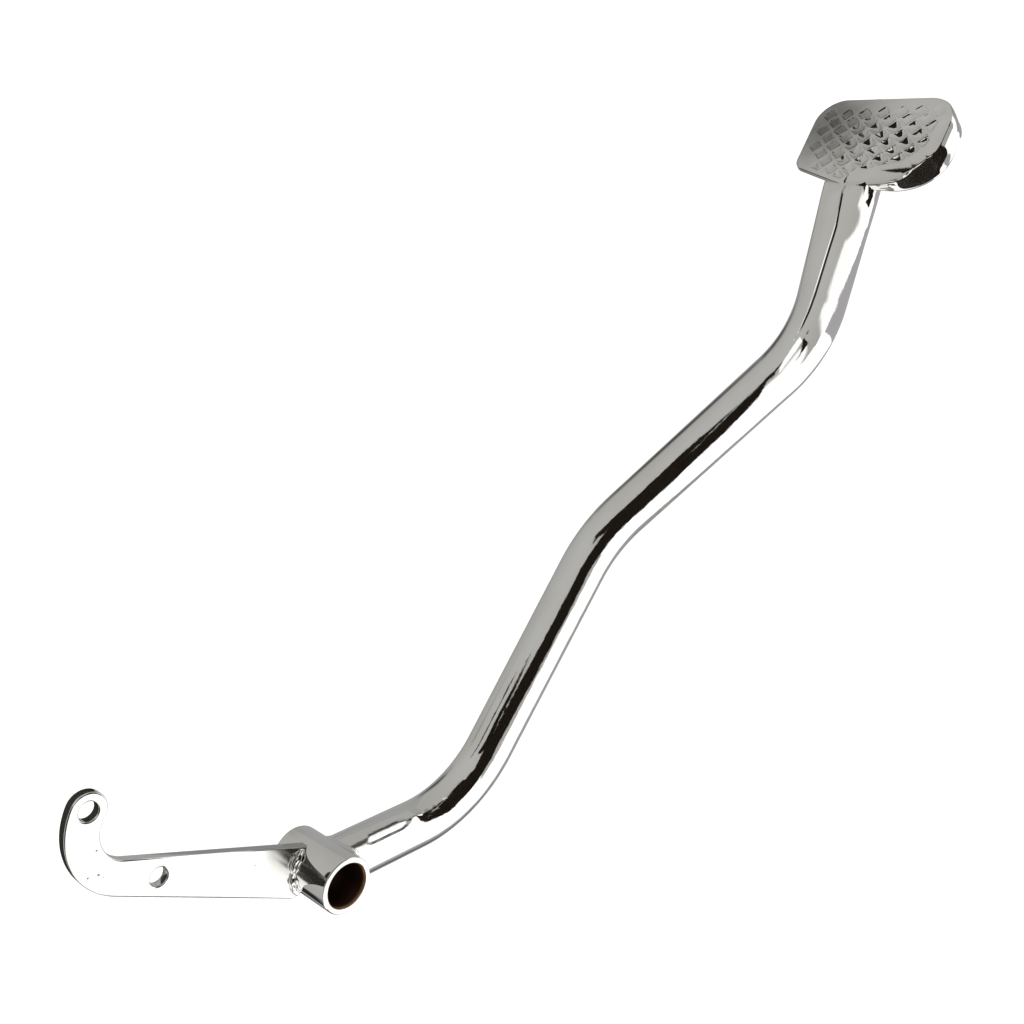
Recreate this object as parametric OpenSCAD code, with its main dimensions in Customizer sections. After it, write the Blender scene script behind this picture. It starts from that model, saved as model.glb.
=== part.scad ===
// Motorcycle brake pedal: a pivot tube with a hooked lever plate and a bent tubular arm welded to it.
// The arm's upper end is slit, opened and pressed into the foot pad.
// The origin is the middle of the pivot bore. +Y runs along the bore, the pad lies towards -Y.
// +X runs forward along the foot tread and +Z is the way the tread faces.

/* [Pivot tube] */
// Outside diameter of the pivot tube
pivot_od = 18; // [17:0.5:24]
// Diameter of the pivot bore
pivot_bore = 14; // [10:0.5:15]
// Length of the pivot tube
pivot_len = 26; // [20:1:36]
// Chamfer at both mouths of the bore
bore_chamfer = 0.3; // [0.1:0.1:0.6]
// Rounding of the tube's outer end edges
pivot_edge = 0.3; // [0.1:0.1:0.6]

/* [Lever plate] */
// Thickness of the lever plate
plate_t = 3.2; // [2.5:0.1:5]
// Outer face of the plate, measured from the middle of the pivot tube
plate_y = 2; // [0:0.5:6]
// Diameter of the brake rod hole in the hook
rod_hole = 5.5; // [4:0.5:6.5]
// Height of the rod hole above the pivot axis
rod_hole_up = 84.3; // [76:0.1:92]
// How far the rod hole lies behind the pivot axis
rod_hole_back = 5.4; // [3:0.1:8]
// Radius of the hook's rounded tip
hook_tip_r = 5.3; // [4.6:0.1:6]
// Radius of the hook's outer bend
hook_outer_r = 21.7; // [20.5:0.1:23]
// Radius of the hook's inner bend
hook_inner_r = 9.5; // [8.5:0.1:10]
// Diameter of the spring hole
spring_hole = 5.5; // [4:0.5:6.5]
// Height of the spring hole above the pivot axis
spring_hole_up = 53.7; // [44:0.1:58]
// Lean of the bar's rear edge, in degrees
rear_lean = 11.7; // [10.5:0.1:13]
// Lean of the bar's front edge, in degrees
front_lean = 17.8; // [16.5:0.1:19]
// Radius of the bar's lower rear corner beside the weld
foot_corner_r = 4; // [2:0.5:5]

/* [Pedal arm] */
// Outside diameter of the arm tube
arm_od = 16; // [14:0.5:17]
// Wall of the arm tube
arm_wall = 2; // [1.5:0.25:3]
// Distance from the pivot axis to the first bend's corner
drop_len = 59.5; // [50:0.5:70]
// Angle of the first stretch below the tread's direction
drop_angle = 53; // [46:0.5:60]
// Forward run of the long stretch between the first two bends
run_forward = 100.7; // [90:0.1:120]
// Outward run of the long stretch
run_out = 16; // [8:0.5:22]
// Rise of the long stretch
run_rise = 14; // [8:0.5:20]
// Forward run of the stretch that steps out to the foot
jog_forward = 75.3; // [70:0.1:90]
// Outward run of that stretch
jog_out = 55.8; // [50:0.1:62]
// Rise of that stretch
jog_rise = 15.1; // [10:0.1:20]
// Forward run from the last bend's corner to the root of the pad
neck_forward = 44.3; // [40:0.1:50]
// Rise from the last bend's corner to the root of the pad
neck_rise = 15.4; // [12:0.1:18]
// How far the neck runs outward on its way to the pad
neck_side_run = 1.4; // [0:0.1:4]
// Centreline radius of the bend at the knee
knee_r = 36; // [28:1:42]
// Centreline radius of the bend at the elbow
elbow_r = 53; // [44:1:60]
// Centreline radius of the bend at the neck
neck_r = 46; // [38:1:50]
// Width of the neck where it passes under the pad
neck_w = 18.2; // [17:0.1:19]
// Height of the neck where it passes under the pad
neck_h = 13.6; // [12.5:0.1:15]
// Width of the open seam along the neck
seam_w = 0.5; // [0.3:0.1:0.8]

/* [Foot pad] */
// Length of the pad from the arm's end to its front edge
pad_len = 35.3; // [32:0.1:40]
// How far the pad reaches inward from the arm's axis
pad_in = 20.7; // [18:0.1:24]
// How far the pad reaches outward from the arm's axis
pad_out = 27; // [24:0.1:30]
// Thickness of the pressed sheet
sheet_t = 1.8; // [1.2:0.1:2.2]
// Depth of the skirt at the outer edge, below the tread
skirt_h = 8.4; // [6:0.1:10]
// Radius of the outer rear corner in plan
rear_corner_r = 15; // [11:0.5:16]
// Radius of the outer front corner in plan
front_corner_r = 11; // [9:0.5:13]
// Radius of the inner front corner in plan
inner_corner_r = 8.8; // [6:0.1:10]
// Edge rounding at the rear, where the tread rolls down
roll_r = 4.5; // [3:0.1:5]
// Edge rounding along the front and the inner side
edge_r = 1.2; // [0.8:0.1:1.6]

/* [Tread pattern] */
// Spacing of the pits from one to the next in a row
pit_pitch = 6.2; // [5.6:0.1:7]
// Half of a pit's diagonal at the surface
pit_r = 2.5; // [1.8:0.1:2.6]
// Half of a pit's diagonal at its floor
pit_floor = 0.9; // [0.4:0.1:1.2]
// Depth of a pit
pit_depth = 1.1; // [0.6:0.1:1.1]

/* [Weld] */
// Leg of the weld fillets
weld_leg = 2; // [1:0.1:2.4]

/* [Hidden] */
$fn = 96;

pivot_r = pivot_od / 2;
arm_r = arm_od / 2;
smooth = 32;
far = 200;
// How far cutting tools go on past what they cut
past = 10;
// How far straight stretches lap over bends
lap = 0.3;
// Thickness of the slices that formed shapes are stretched between
slice = 0.02;
// How far a face that runs inside another stays below it
hair = 0.01;

// Corners of the arm's centreline, from the pivot axis to the root of the pad
drop_from = [0, 0, 0];
knee = [drop_len * cos(drop_angle), 0, -drop_len * sin(drop_angle)];
elbow = knee + [run_forward, -run_out, run_rise];
neck = elbow + [jog_forward, -jog_out, jog_rise];
root = neck + [neck_forward, -neck_side_run, neck_rise];

// The formed neck's flat top carries on as the tread
tread_z = root[2] + neck_h / 2;

function unit(v) = v / norm(v);
// Distance from a bend's corner to the ends of its arc, for a bend of radius r between corners a, b and c
function tangent_len(a, b, c, r) = r * tan(acos(unit(b - a) * unit(c - b)) / 2);

// Places children with their X axis along x, their Z axis along z and their origin at p
module placed(p, x, z) {
    y = cross(z, x);
    multmatrix([
        [x[0], y[0], z[0], p[0]],
        [x[1], y[1], z[1], p[1]],
        [x[2], y[2], z[2], p[2]],
        [0, 0, 0, 1]
    ]) children();
}

// Any direction square to z
function across(z) = unit(cross(abs(z[1]) < 0.9 ? [0, 1, 0] : [1, 0, 0], z));

// Straight round bar of diameter d from a to b, lapping a little over what it joins at both ends
module straight(a, b, d) {
    along = unit(b - a);
    placed(a - along * lap, across(along), along)
        cylinder(h = norm(b - a) + 2 * lap, d = d);
}

// Bend of a round bar at corner b, with centreline radius r. Its diameter is a hair under d,
// so that it ends inside the straights that lap over it.
module bend(a, b, c, r, d) {
    into = unit(b - a);
    out = unit(c - b);
    turn = acos(into * out);
    axis = unit(cross(into, out));
    start = b - into * tangent_len(a, b, c, r);
    centre = start + cross(axis, into) * r;
    placed(centre, unit(start - centre), axis)
        rotate_extrude(angle = turn)
            translate([r, 0]) circle(d = d - hair);
}

// The arm's run of straights and bends as a solid bar of diameter d, up to the formed neck
module arm_run(d) {
    knee_in = knee - unit(knee) * tangent_len(drop_from, knee, elbow, knee_r);
    knee_out = knee + unit(elbow - knee) * tangent_len(drop_from, knee, elbow, knee_r);
    elbow_in = elbow - unit(elbow - knee) * tangent_len(knee, elbow, neck, elbow_r);
    elbow_out = elbow + unit(neck - elbow) * tangent_len(knee, elbow, neck, elbow_r);
    neck_from = neck - unit(neck - elbow) * tangent_len(elbow, neck, root, neck_r);
    straight(drop_from, knee_in, d);
    bend(drop_from, knee, elbow, knee_r, d);
    straight(knee_out, elbow_in, d);
    bend(knee, elbow, neck, elbow_r, d);
    straight(elbow_out, neck_from, d);
    bend(elbow, neck, root, neck_r, d);
}

// End of the neck's arc, where the tube starts to be formed into the pad
function neck_out() = neck + unit(root - neck) * tangent_len(elbow, neck, root, neck_r);

// The direction inward across the neck, level with the tread and square to the neck
neck_side = unit(cross([0, 0, 1], unit(root - neck)));

// Thin slices across both ends of the neck, less inset all round: the round tube just inside the bend,
// and at the pad's root a flatter oval
module neck_slice(inset) {
    placed(neck_out() - unit(root - neck) * lap, neck_side, unit(root - neck))
        cylinder(h = slice, r = arm_r - 2 * hair - inset, $fn = smooth);
}

module root_slice(inset) {
    placed(root, neck_side, unit(root - neck))
        scale([(neck_w / 2 - inset) / arm_r, (neck_h / 2 - inset) / arm_r, 1])
            cylinder(h = slice, r = arm_r, $fn = smooth);
}

// The oval's top inner quarter is pressed out to a corner beside the flat top
formed_corner_r = 1.2;
formed_corner_in = 2.3;
module root_corner(inset) {
    placed(root, neck_side, unit(root - neck))
        translate([neck_w / 2 - formed_corner_in - formed_corner_r, neck_h / 2 - formed_corner_r, 0])
            cylinder(h = slice, r = formed_corner_r - inset, $fn = smooth);
}

// The neck, from round tube to the pad's flat top
module formed_neck() {
    hull() {
        neck_slice(0);
        root_slice(0);
        root_corner(0);
    }
}

module neck_bore() {
    hull() {
        neck_slice(arm_wall);
        root_slice(arm_wall);
    }
}

// The tube's end under the pad, pressed up flat into the sheet. It starts a little inside the neck,
// keeps the neck's width over the shoulder, and its flat tongue stays tongue_in inside the sheet.
shoulder_len = 5;
shoulder_h = 10;
shoulder_below = 0.3;
tongue_from = 10;
tongue_to = 18;
tongue_in = 0.8;
tuck = 5 * hair;
module flattened_end() {
    hull() {
        translate(-unit(root - neck) * lap) {
            root_slice(tuck);
            root_corner(tuck);
        }
        translate([root[0] + shoulder_len, root[1], tread_z - shoulder_below - shoulder_h / 2])
            rotate([0, 90, 0])
                scale([shoulder_h / arm_od, neck_w / arm_od, 1])
                    cylinder(h = slice, r = arm_r, $fn = smooth);
        translate([root[0] + tongue_from, root[1] - arm_r + arm_wall, tread_z - sheet_t - tongue_in])
            cube([tongue_to - tongue_from, arm_od - 2 * arm_wall, 2 * tongue_in]);
    }
}

// Rounded corner piece of the pad: radius r in plan at the point, with its top edge rounded by roll
module pad_corner(point, r, roll, top, bottom) {
    translate(point)
        rotate_extrude($fn = smooth)
            intersection() {
                union() {
                    translate([0, bottom]) square([r, top - roll - bottom]);
                    translate([0, bottom]) square([r - roll, top - bottom]);
                    translate([r - roll, top - roll]) circle(r = roll, $fn = smooth);
                }
                translate([0, bottom]) square([r, top - bottom]);
            }
}

front_x = root[0] + pad_len;
rear_x = root[0] + 1;
inner_y = root[1] + pad_in;
outer_y = root[1] - pad_out;
rear_inner_r = 4;
rear_inner_cut = 10.2;
root_corner_r = 3;
// The sheet's edges are nearly sharp inside
inside_edge = 0.3;

// Middles of the pad's corners in plan. The front edge leans back a little at both corners, the outer
// rear corner stands a little forward of the rear edge, and the inner rear one far forward.
front_inner_at = [front_x - 0.3 - inner_corner_r, inner_y - inner_corner_r];
rear_inner_at = [rear_x + rear_inner_cut, inner_y - rear_inner_r];
root_at = [rear_x + root_corner_r, root[1]];
rear_outer_at = [rear_x + 1.3 + rear_corner_r, outer_y + rear_corner_r];
front_outer_at = [front_x - 1 - front_corner_r, outer_y + front_corner_r];

// The pad's block up to top: the outline in plan less inset, with its top edges rounded by edge,
// and by roll at the outer rear corner
module pad_block(inset, edge, roll, top, bottom) {
    hull() {
        pad_corner(front_inner_at, inner_corner_r - inset, edge, top, bottom);
        pad_corner(rear_inner_at, rear_inner_r - inset, edge, top, bottom);
        pad_corner(root_at, root_corner_r - inset, edge, top, bottom);
        pad_corner(rear_outer_at, rear_corner_r - inset, roll, top, bottom);
        pad_corner(front_outer_at, front_corner_r - inset, edge, top, bottom);
    }
}

// What is cut away below the pad: nothing hangs under the sheet inward of the arm's axis,
// and outward of it the skirt's lower edge slopes down to the outer side
skirt_from = root[1] + 2;
module below_skirt() {
    flat_z = tread_z - sheet_t;
    translate([rear_x - past, 0, 0])
        rotate([90, 0, 90])
            linear_extrude(pad_len + 2 * past)
                polygon([
                    [inner_y + past, flat_z],
                    [skirt_from, flat_z],
                    [outer_y, tread_z - skirt_h],
                    [outer_y - past, tread_z - skirt_h],
                    [outer_y - past, tread_z - far],
                    [inner_y + past, tread_z - far]
                ]);
}

// The pressed sheet: tread and skirt
module pad_sheet() {
    difference() {
        pad_block(0, edge_r, roll_r, tread_z, tread_z - skirt_h - past);
        pad_block(sheet_t, inside_edge, roll_r - sheet_t, tread_z - sheet_t, tread_z - skirt_h - 2 * past);
        below_skirt();
    }
}

// Rows and columns of pits run along X and Y at half the pitch, every second place filled
half = pit_pitch / 2;
pit_rows = floor(pad_len / half);
pit_cols = floor((inner_y - outer_y) / half);
first_x = root[0] + 7.2;
first_y = inner_y - 1.5;

// Margins of the tread without pits: along the outer edge, the inner edge, the front edge,
// the cut-off inner rear corner, and inside both outer corners
outer_margin = 5;
inner_margin = 3.9;
front_margin = 4;
corner_margin = 6;
rear_round_margin = 4;
front_round_margin = 3;

// True where a pit at x, y keeps inside radius r of the rounded corner at the point. The corner is
// on the rear side of its middle where side is -1, and on the front side where it is 1.
function inside_round(x, y, point, r, side) =
    (x - point[0]) * side < 0 || y > point[1] || norm([x - point[0], y - point[1]]) < r;
function on_tread(x, y) =
    y > outer_y + outer_margin
    && y < inner_y - inner_margin
    && x < front_x - front_margin
    && (y < inner_y - corner_margin || x > first_x + half * 1.5)
    && inside_round(x, y, rear_outer_at, rear_corner_r - rear_round_margin, -1)
    && inside_round(x, y, front_outer_at, front_corner_r - front_round_margin, 1);

// Each pit's tool goes on past the tread by over times its depth
over = 0.05;
module pits() {
    for (i = [0:pit_rows])
        for (j = [0:pit_cols]) {
            x = first_x + i * half;
            y = first_y - j * half;
            if ((i + j) % 2 == 0 && on_tread(x, y))
                translate([x, y, tread_z - pit_depth])
                    cylinder(
                        h = pit_depth * (1 + over),
                        r1 = pit_floor,
                        r2 = pit_r + over * (pit_r - pit_floor),
                        $fn = 4
                    );
        }
}

// The slit along the neck's upper side, from just behind the bend's end to the pad's rear edge
seam_from = neck_out() + [-6, 0.5, arm_r - 1.8];
seam_to = root + [1, -0.8, neck_h / 2];
seam_deep = 2;
module seam() {
    along = unit(seam_to - seam_from);
    placed(seam_from, unit(cross([0, 0, 1], along)), along)
        translate([-seam_w / 2, -seam_deep, 0])
            cube([seam_w, 2 * seam_deep, norm(seam_to - seam_from)]);
}

module pivot_tube() {
    color("gainsboro")
        rotate([90, 0, 0])
            rotate_extrude()
                polygon([
                    [pivot_bore / 2, -pivot_len / 2 + bore_chamfer],
                    [pivot_bore / 2 + bore_chamfer, -pivot_len / 2],
                    [pivot_r - pivot_edge, -pivot_len / 2],
                    [pivot_r, -pivot_len / 2 + pivot_edge],
                    [pivot_r, pivot_len / 2 - pivot_edge],
                    [pivot_r - pivot_edge, pivot_len / 2],
                    [pivot_bore / 2 + bore_chamfer, pivot_len / 2],
                    [pivot_bore / 2, pivot_len / 2 - bore_chamfer]
                ]);
}

// The hook is drawn in the plate's own plane, X forward and Y up. Both of its bends touch the round tip.
rod_at = [-rod_hole_back, rod_hole_up];
outer_shift = 2.7;
inner_shift = 0.3;
outer_at = rod_at + [outer_shift, -sqrt(pow(hook_outer_r - hook_tip_r, 2) - pow(outer_shift, 2))];
inner_at = rod_at + [inner_shift, -sqrt(pow(hook_inner_r + hook_tip_r, 2) - pow(inner_shift, 2))];
// The bar's rear edge touches the hook's outer arc, its front edge the inner arc
rear_touch = outer_at + hook_outer_r * [-cos(rear_lean), -sin(rear_lean)];
front_touch = inner_at + hook_inner_r * [-cos(front_lean), -sin(front_lean)];

module lever_outline() {
    rear_dir = [sin(rear_lean), -cos(rear_lean)];
    front_dir = [sin(front_lean), -cos(front_lean)];
    rear_foot = rear_touch + rear_dir * (rear_touch[1] - foot_corner_r) / cos(rear_lean);
    front_foot = front_touch + front_dir * front_touch[1] / cos(front_lean);
    corner_at = rear_foot + foot_corner_r * [cos(rear_lean), sin(rear_lean)];
    difference() {
        union() {
            polygon([rear_touch, rear_foot, corner_at, [0, 0], front_foot, front_touch]);
            translate(corner_at) circle(r = foot_corner_r);
            intersection() {
                translate(outer_at) circle(r = hook_outer_r);
                polygon([
                    rear_touch - [past, 0],
                    rear_touch,
                    front_touch,
                    inner_at,
                    rod_at,
                    rod_at + (rod_at - outer_at),
                    [rear_touch[0] - past, rod_at[1] + hook_outer_r]
                ]);
            }
            translate(rod_at) circle(r = hook_tip_r);
        }
        translate(inner_at) circle(r = hook_inner_r);
        translate(rod_at) circle(d = rod_hole);
        translate([spring_x(), spring_hole_up]) circle(d = spring_hole);
        circle(r = pivot_r);
    }
}

// The spring hole sits midway between the bar's edges
function edge_x(p, lean, z) = p[0] + (p[1] - z) * tan(lean);
function spring_x() = (edge_x(rear_touch, rear_lean, spring_hole_up)
    + edge_x(front_touch, front_lean, spring_hole_up)) / 2;

module lever_plate() {
    color("whitesmoke")
        translate([0, plate_y + plate_t, 0])
            rotate([90, 0, 0])
                linear_extrude(plate_t)
                    lever_outline();
}

module pedal_arm() {
    color("lightgray")
        difference() {
            union() {
                difference() {
                    union() {
                        arm_run(arm_od);
                        formed_neck();
                    }
                    arm_run(arm_od - 2 * arm_wall);
                    neck_bore();
                }
                flattened_end();
                pad_sheet();
            }
            rotate([90, 0, 0]) cylinder(h = 2 * arm_od, r = pivot_r, center = true);
            seam();
            pits();
        }
}

// Fillet ring on the pivot tube beside the plate, from the plate's front edge round to its rear corner
module plate_fillet(from, to) {
    rotate([90, 0, 0])
        rotate([0, 0, from])
            rotate_extrude(angle = to - from)
                polygon([[pivot_r, 0], [pivot_r + weld_leg, 0], [pivot_r, weld_leg]]);
}

// The angles round the tube where that fillet starts and ends
weld_from = 66;
weld_to = 168;
module lever_weld() {
    color("silver") {
        translate([0, plate_y, 0]) plate_fillet(weld_from, weld_to);
        translate([0, plate_y + plate_t, 0]) mirror([0, 1, 0]) plate_fillet(weld_from, weld_to);
    }
}

// Bead round the arm where it meets the pivot tube
module arm_weld() {
    $fn = 240;
    toward = unit(knee);
    bead = 0.4 * weld_leg;
    color("silver")
        difference() {
            intersection() {
                straight(drop_from, toward * pivot_od, arm_od + 2 * bead);
                rotate([90, 0, 0]) cylinder(h = 2 * arm_od, r = pivot_r + bead, center = true);
            }
            straight(drop_from, toward * pivot_od, arm_od);
            rotate([90, 0, 0]) cylinder(h = 2 * arm_od, r = pivot_r, center = true);
        }
}

pivot_tube();
lever_plate();
pedal_arm();
lever_weld();
arm_weld();
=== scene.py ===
"""A chromed motorcycle brake pedal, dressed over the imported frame.

The frame holds the solids. Here each of them gets its finished surface: the plated arm with its slit
and formed neck, the pressed foot pad with its pitted tread, the hooked lever plate, the pivot tube
with its bare bore, and the weld beads. Lengths below are in millimetres, and meshes go out in metres.
"""
import math

import bmesh
import bpy
import numpy as np
from mathutils import Euler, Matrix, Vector


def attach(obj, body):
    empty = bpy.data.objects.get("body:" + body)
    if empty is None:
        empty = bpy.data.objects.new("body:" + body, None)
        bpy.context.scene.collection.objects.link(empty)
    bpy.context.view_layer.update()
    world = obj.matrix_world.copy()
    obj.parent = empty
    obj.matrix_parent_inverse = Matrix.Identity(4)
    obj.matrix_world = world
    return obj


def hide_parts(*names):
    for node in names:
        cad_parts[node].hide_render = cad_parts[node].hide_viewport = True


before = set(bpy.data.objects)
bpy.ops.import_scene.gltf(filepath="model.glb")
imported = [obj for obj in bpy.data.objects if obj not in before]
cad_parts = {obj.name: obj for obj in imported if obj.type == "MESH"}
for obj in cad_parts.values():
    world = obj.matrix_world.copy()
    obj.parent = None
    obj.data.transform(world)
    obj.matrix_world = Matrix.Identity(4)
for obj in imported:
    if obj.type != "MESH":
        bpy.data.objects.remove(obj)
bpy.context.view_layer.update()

MM = 0.001
TAU = 2 * math.pi

# Sizes of the part, the same as its solids have
PIVOT_R = 9.0
BORE_R = 7.0
PIVOT_LEN = 26.0
PLATE_T = 3.2
PLATE_Y = 2.0
ARM_R = 8.0
WALL = 2.0
DROP_LEN = 59.5
DROP_ANGLE = math.radians(53)
KNEE = np.array([DROP_LEN * math.cos(DROP_ANGLE), 0, -DROP_LEN * math.sin(DROP_ANGLE)])
ELBOW = KNEE + np.array([100.7, -16, 14])
NECK = ELBOW + np.array([75.3, -55.8, 15.1])
ROOT = NECK + np.array([44.3, -1.4, 15.4])
KNEE_R, ELBOW_R, NECK_R = 36.0, 53.0, 46.0
NECK_W, NECK_H = 18.2, 13.6
TREAD_Z = ROOT[2] + NECK_H / 2
SHEET = 1.8
# The lever plate's holes in the plate's own plane, X forward and Y up, and their radius
ROD_HOLE = np.array([-5.4, 84.3])
SPRING_HOLE = np.array([-15.94, 53.7])
HOLE_R = 2.75
# How far the pad reaches from the arm's end, forward, inward and outward, and the depth of its skirt
PAD_LEN, PAD_IN, PAD_OUT = 35.3, 20.7, 27.0
SKIRT = 8.4
# Radii inside the pivot tube's wall at which the plate's outline and the arm's first cap end
PLATE_SEAT_R = 8.5
ARM_SEAT_R = 8.6


def unit(v):
    """The vector at length one. Works on one vector or on rows of them."""
    return v / np.linalg.norm(v, axis=-1, keepdims=True)


def smoothstep(a, b, x):
    """0 below a, 1 above b, and the cubic 3t^2 - 2t^3 between them."""
    t = np.clip((x - a) / (b - a), 0, 1)
    return t * t * (3 - 2 * t)


# Meshes from grids of points

def strip_faces(rows, cols, closed_rows, closed_cols):
    """Corner numbers of the quads of a grid whose points are numbered row by row."""
    i = np.arange(rows if closed_rows else rows - 1)
    j = np.arange(cols if closed_cols else cols - 1)
    i, j = np.meshgrid(i, j, indexing="ij")
    i2, j2 = (i + 1) % rows, (j + 1) % cols
    quads = [i * cols + j, i * cols + j2, i2 * cols + j2, i2 * cols + j]
    return np.stack(quads, -1).reshape(-1, 4)


def make_piece(name, grids, material, marks=None, merge=0.002):
    """One mesh from grids of points in mm: each grid is (points, closed_rows, closed_cols, slot).
    Grids that share an edge are welded there, and the faces are turned outwards. marks holds named
    values of the points, numbers or vectors, for the materials."""
    verts, faces, slots, base = [], [], [], 0
    for points, closed_rows, closed_cols, slot in grids:
        rows, cols = points.shape[:2]
        quads = strip_faces(rows, cols, closed_rows, closed_cols) + base
        verts.append(points.reshape(-1, 3))
        faces.append(quads)
        slots.append(np.full(len(quads), slot))
        base += rows * cols
    verts, faces, slots = np.vstack(verts) * MM, np.vstack(faces), np.concatenate(slots)
    mesh = bpy.data.meshes.new(name)
    mesh.from_pydata(verts.tolist(), [], faces.tolist())
    for m in material:
        mesh.materials.append(m)
    for key, values in (marks or {}).items():
        if values.shape[-1] == 3:
            mesh.attributes.new(key, "FLOAT_VECTOR", "POINT").data.foreach_set("vector", values.ravel())
        else:
            mesh.attributes.new(key, "FLOAT", "POINT").data.foreach_set("value", values.ravel())
    mesh.polygons.foreach_set("material_index", slots.astype(np.int32))
    mesh.polygons.foreach_set("use_smooth", np.ones(len(faces), bool))
    bm = bmesh.new()
    bm.from_mesh(mesh)
    bmesh.ops.remove_doubles(bm, verts=bm.verts, dist=merge * MM)
    bmesh.ops.dissolve_degenerate(bm, edges=bm.edges, dist=merge * MM * 0.1)
    bmesh.ops.recalc_face_normals(bm, faces=bm.faces)
    bm.to_mesh(mesh)
    bm.free()
    mesh.update()
    piece = bpy.data.objects.new(name, mesh)
    bpy.context.scene.collection.objects.link(piece)
    return piece


def seat(piece, node):
    """The piece rides on the one body and stands for the node, which is hidden."""
    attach(piece, "root")
    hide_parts(node)


# The arm's centreline

def bend_arc(a, b, c, r, n):
    """Points and directions along an arc of radius r that rounds the corner b between a and c."""
    into, out = unit(b - a), unit(c - b)
    turn = math.acos(float(into @ out))
    axis = unit(np.cross(into, out))
    start = b - into * r * math.tan(turn / 2)
    centre = start + np.cross(axis, into) * r
    ray = start - centre
    t = np.linspace(0, turn, n)[:, None]
    points = centre + np.cos(t) * ray + np.sin(t) * np.cross(axis, ray)
    return points, unit(np.cross(axis, points - centre))


def centreline(step=1.2):
    """Points and directions from the pivot axis to the root of the pad, a ring about every step mm."""
    corners = [np.zeros(3), KNEE, ELBOW, NECK, ROOT]
    points, dirs = [], []
    last = corners[0]
    for k, r in zip((1, 2, 3), (KNEE_R, ELBOW_R, NECK_R)):
        arc, along = bend_arc(corners[k - 1], corners[k], corners[k + 1], r, 32)
        n = max(2, int(np.linalg.norm(arc[0] - last) / step))
        t = np.linspace(0, 1, n, endpoint=False)[:, None]
        points += [last + (arc[0] - last) * t, arc[:-1]]
        dirs += [np.repeat(along[:1], n, 0), along[:-1]]
        last, last_dir = arc[-1], along[-1]
    n = int(np.linalg.norm(ROOT - last) / step)
    t = np.linspace(0, 1, n)[:, None]
    points.append(last + (ROOT - last) * t)
    dirs.append(np.repeat(last_dir[None], n, 0))
    points, dirs = np.vstack(points), np.vstack(dirs)
    length = np.concatenate([[0], np.cumsum(np.linalg.norm(np.diff(points, axis=0), axis=1))])
    return points, dirs, length


# Shader maths

class Graph:
    """Builds a node tree. add() makes any node, and expressions on Values make Math nodes."""

    def __init__(self, tree):
        self.tree = tree

    def add(self, kind, settings=None, **inputs):
        """A node of this type: its settings first, then the values or links of its sockets, which go by
        name, or by number as i0, i1 and so on."""
        node = self.tree.nodes.new(kind)
        for key, value in (settings or {}).items():
            setattr(node, key, value)
        for key, value in inputs.items():
            self.link(node.inputs[int(key[1:]) if key[0] == "i" and key[1:].isdigit() else key], value)
        return node

    def link(self, socket, value):
        """Feeds the socket from a Value or another socket, or sets it to a constant."""
        if isinstance(value, Value):
            self.tree.links.new(value.socket, socket)
        elif isinstance(value, bpy.types.NodeSocket):
            self.tree.links.new(value, socket)
        else:
            socket.default_value = value

    def math(self, operation, *args):
        """A Math node on numbers or Values, as a Value."""
        node = self.add("ShaderNodeMath", {"operation": operation},
                        **{f"i{k}": v for k, v in enumerate(args)})
        return Value(self, node.outputs[0])

    def step(self, low, high, value):
        """0 below low and 1 above high, smooth between."""
        node = self.add("ShaderNodeMapRange", {"interpolation_type": "SMOOTHSTEP"},
                        Value=value, i1=low, i2=high)
        return Value(self, node.outputs[0])

    def mix(self, factor, a, b):
        """Colour a where the factor is 0 and colour b where it is 1."""
        node = self.add("ShaderNodeMix", {"data_type": "RGBA"}, i0=factor, i6=a, i7=b)
        return node.outputs[2]

    def noise(self, where, scale, detail=2.0, rough=0.5):
        """Cloudy noise over the place, 0 to 1, finer with the scale."""
        node = self.add("ShaderNodeTexNoise", Vector=where, Scale=scale, Detail=detail, Roughness=rough)
        return Value(self, node.outputs[0])

    def split(self, vector):
        """The three parts of a vector."""
        node = self.add("ShaderNodeSeparateXYZ", i0=vector)
        return [Value(self, s) for s in node.outputs]

    def distance(self, where, centre):
        """How far each place lies from the centre."""
        node = self.add("ShaderNodeVectorMath", {"operation": "DISTANCE"}, i0=where, i1=centre)
        return Value(self, node.outputs[1])


class Value:
    """A number socket that takes part in expressions."""

    def __init__(self, graph, socket):
        self.graph, self.socket = graph, socket

    def __add__(self, o):
        return self.graph.math("ADD", self, o)

    def __radd__(self, o):
        return self.graph.math("ADD", o, self)

    def __sub__(self, o):
        return self.graph.math("SUBTRACT", self, o)

    def __rsub__(self, o):
        return self.graph.math("SUBTRACT", o, self)

    def __mul__(self, o):
        return self.graph.math("MULTIPLY", self, o)

    def __rmul__(self, o):
        return self.graph.math("MULTIPLY", o, self)


def grey(v, warm=0.0):
    """A near-neutral colour of linear level v, a little yellow where warm is above 0."""
    return (v, v * (1 - 0.01 * warm), v * (1 - 0.05 * warm), 1)


def new_material(name):
    """A material with its graph, its shader, and the place on the piece in metres."""
    material = bpy.data.materials.new(name)
    material.use_nodes = True
    graph = Graph(material.node_tree)
    shader = material.node_tree.nodes["Principled BSDF"]
    where = graph.add("ShaderNodeTexCoord").outputs["Object"]
    return material, graph, shader, where


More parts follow.
